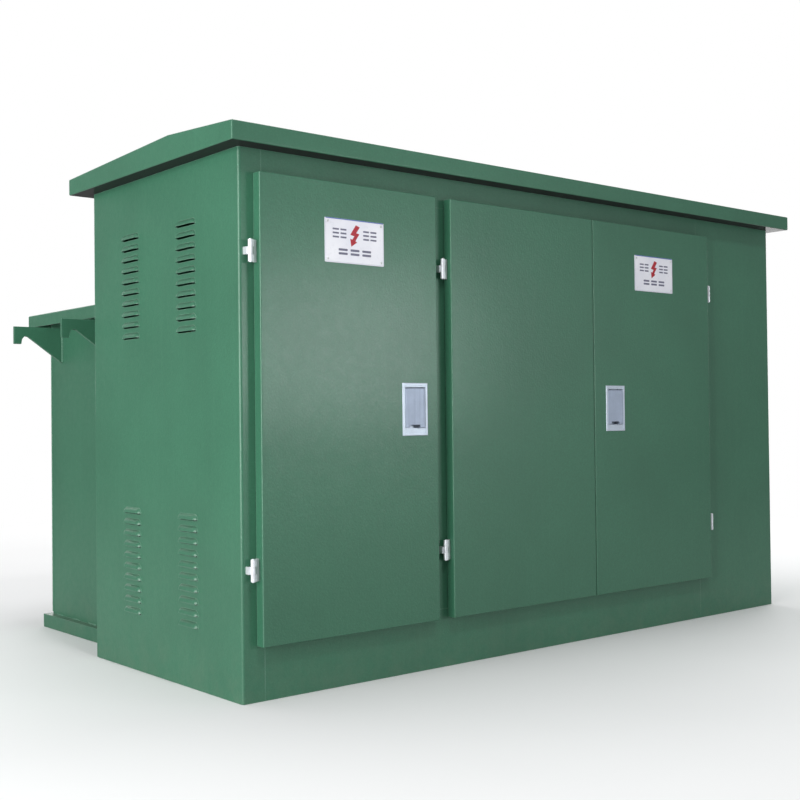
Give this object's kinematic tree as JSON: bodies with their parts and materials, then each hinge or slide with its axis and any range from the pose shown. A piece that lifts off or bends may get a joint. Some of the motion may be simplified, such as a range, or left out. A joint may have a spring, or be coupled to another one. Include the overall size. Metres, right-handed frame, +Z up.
{
  "type": "pad-mounted transformer",
  "caption": "Combined pad-mounted transformer: gabled sheet-steel cabinet with three hinged doors and flush latches in front of an oil tank with lifting hooks and radiators.",
  "frame": {"origin": "centre of the overall footprint (roof, doors and radiators included) on the ground plane", "axes": "+X to the right along the cabinet front, -Y is the front with the doors, +Z up"},
  "size_m": [2.458, 1.736, 1.4855],
  "materials": {
    "enclosure_paint": "satin dark-green powder coat with a fine orange-peel texture",
    "door_paint": "satin dark-green powder coat with a fine orange-peel texture",
    "tank_paint": "satin dark-green paint on steel plate",
    "base_paint": "black primer",
    "hinge_zinc": "bright zinc",
    "latch_satin": "satin chrome",
    "plate_enamel": "white-faced aluminium",
    "seal_rubber": "black rubber",
    "bolt_zinc": "zinc plated",
    "core_steel": "stacked electrical steel",
    "clamp_steel": "primed steel",
    "lv_copper": "copper foil",
    "hv_coil": "varnished wire with paper wrap",
    "insulator": "brown glaze",
    "epoxy_grey": "grey moulded epoxy",
    "fitting_steel": "machined steel",
    "busbar_copper": "tinned copper",
    "breaker_plastic": "black moulded case",
    "handle_red": "red plastic",
    "gauge_body": "cast aluminium",
    "needle_red": "red pointer",
    "valve_brass": "cast brass"
  },
  "bodies": {
    "housing": {"left_side_panel": "enclosure_paint", "right_side_panel": "enclosure_paint", "front_top_rail": "enclosure_paint", "front_bottom_rail": "enclosure_paint", "front_centre_post": "enclosure_paint", "roof_cover": "enclosure_paint", "compartment_partition": "enclosure_paint", "rear_upper_panel": "enclosure_paint", "floor_plate": "base_paint", "base_frame": "base_paint", "door_gaskets": "seal_rubber", "hinge_frame_leaves": "hinge_zinc", "hinge_pins": "hinge_zinc", "tank_shell": "tank_paint", "tank_gasket": "seal_rubber", "tank_cover": "tank_paint", "cover_bolts": "bolt_zinc", "tank_base_rails": "tank_paint", "lifting_hooks": "tank_paint", "radiator_left": "tank_paint", "radiator_right": "tank_paint", "core": "core_steel", "core_clamps": "clamp_steel", "lv_windings": "lv_copper", "hv_windings": "hv_coil", "hv_bushings": "insulator", "fuse_wells": "epoxy_grey", "switch_boss": "fitting_steel", "tap_boss": "fitting_steel", "level_gauge": "gauge_body", "relief_valve": "valve_brass", "drain_valve": "valve_brass", "earth_bar": "busbar_copper", "lv_bushings": "insulator", "lv_busbars": "busbar_copper", "lv_breaker": "breaker_plastic"},
    "hv_door_leaf": {"hv_door": "door_paint", "hv_hinge_door_leaves": "hinge_zinc", "hv_latch_bezel": "latch_satin", "hv_label_plate": "plate_enamel"},
    "lv_left_leaf": {"lv_left_door": "door_paint", "lv_left_hinge_door_leaves": "hinge_zinc"},
    "lv_right_leaf": {"lv_right_door": "door_paint", "lv_right_hinge_door_leaves": "hinge_zinc", "lv_latch_bezel": "latch_satin", "lv_label_plate": "plate_enamel"},
    "hv_paddle": {"hv_latch_paddle": "latch_satin"},
    "lv_paddle": {"lv_latch_paddle": "latch_satin"},
    "hv_tongue": {"hv_latch_tongue": "fitting_steel"},
    "lv_tongue": {"lv_latch_tongue": "fitting_steel"},
    "shoot_bolt": {"lv_shoot_bolt": "fitting_steel"},
    "fuse_a": {"fuse_holder_a": "epoxy_grey"},
    "fuse_b": {"fuse_holder_b": "epoxy_grey"},
    "fuse_c": {"fuse_holder_c": "epoxy_grey"},
    "load_switch": {"switch_handle": "handle_red"},
    "tap_selector": {"tap_knob": "breaker_plastic"},
    "oil_needle": {"level_needle": "needle_red"},
    "relief_pull": {"relief_ring": "fitting_steel"},
    "drain_handle": {"drain_lever": "handle_red"},
    "breaker_toggle": {"breaker_handle": "handle_red"}
  },
  "joints": [
    {"name": "hv_door_hinge", "type": "hinge", "parent": "housing", "child": "hv_door_leaf", "pos_m": [-1.152, -0.828, 0.743], "axis": [0, 0, -1], "range_deg": [0, 120]},
    {"name": "lv_left_door_hinge", "type": "hinge", "parent": "housing", "child": "lv_left_leaf", "pos_m": [-0.498, -0.828, 0.743], "axis": [0, 0, -1], "range_deg": [0, 120]},
    {"name": "lv_right_door_hinge", "type": "hinge", "parent": "housing", "child": "lv_right_leaf", "pos_m": [0.774, -0.828, 0.743], "axis": [0, 0, 1], "range_deg": [0, 120]},
    {"name": "hv_paddle_lift", "type": "hinge", "parent": "hv_door_leaf", "child": "hv_paddle", "pos_m": [-0.621, -0.839, 0.8005], "axis": [-1, 0, 0], "range_deg": [0, 45], "stiffness_Nm_per_rad": 0.3},
    {"name": "lv_paddle_lift", "type": "hinge", "parent": "lv_right_leaf", "child": "lv_paddle", "pos_m": [0.241, -0.839, 0.8005], "axis": [-1, 0, 0], "range_deg": [0, 45], "stiffness_Nm_per_rad": 0.3},
    {"name": "hv_tongue_turn", "type": "hinge", "parent": "hv_door_leaf", "child": "hv_tongue", "pos_m": [-0.621, -0.81, 0.7435], "axis": [0, 1, 0], "range_deg": [0, 60]},
    {"name": "lv_tongue_turn", "type": "hinge", "parent": "lv_right_leaf", "child": "lv_tongue", "pos_m": [0.241, -0.81, 0.7435], "axis": [0, -1, 0], "range_deg": [0, 60]},
    {"name": "shoot_bolt_slide", "type": "slide", "parent": "lv_left_leaf", "child": "shoot_bolt", "axis": [0, 0, 1], "range_m": [0, 0.02]},
    {"name": "fuse_a_draw", "type": "slide", "parent": "housing", "child": "fuse_a", "axis": [0, -1, 0], "range_m": [0, 0.21]},
    {"name": "fuse_b_draw", "type": "slide", "parent": "housing", "child": "fuse_b", "axis": [0, -1, 0], "range_m": [0, 0.21]},
    {"name": "fuse_c_draw", "type": "slide", "parent": "housing", "child": "fuse_c", "axis": [0, -1, 0], "range_m": [0, 0.21]},
    {"name": "load_switch_turn", "type": "hinge", "parent": "housing", "child": "load_switch", "pos_m": [-0.61, -0.019, 0.955], "axis": [0, -1, 0], "range_deg": [0, 90]},
    {"name": "tap_selector_turn", "type": "hinge", "parent": "housing", "child": "tap_selector", "pos_m": [-0.61, -0.019, 0.76], "axis": [0, -1, 0], "range_deg": [-60, 60]},
    {"name": "oil_needle_swing", "type": "hinge", "parent": "housing", "child": "oil_needle", "pos_m": [-0.975, -0.004, 0.985], "axis": [0, -1, 0], "range_deg": [-50, 50]},
    {"name": "relief_pull_slide", "type": "slide", "parent": "housing", "child": "relief_pull", "axis": [0, -1, 0], "range_m": [0, 0.008], "stiffness_N_per_m": 300},
    {"name": "drain_lever_turn", "type": "hinge", "parent": "housing", "child": "drain_handle", "pos_m": [-0.935, -0.02, 0.19], "axis": [0, 0, -1], "range_deg": [0, 90]},
    {"name": "breaker_toggle_swing", "type": "hinge", "parent": "housing", "child": "breaker_toggle", "pos_m": [-0.035, -0.069, 0.46], "axis": [1, 0, 0], "range_deg": [-20, 20]}
  ],
  "couplings": [
    {"joint": "hv_tongue_turn", "follows": "hv_paddle_lift", "ratio": 1.3333},
    {"joint": "lv_tongue_turn", "follows": "lv_paddle_lift", "ratio": 1.3333}
  ]
}
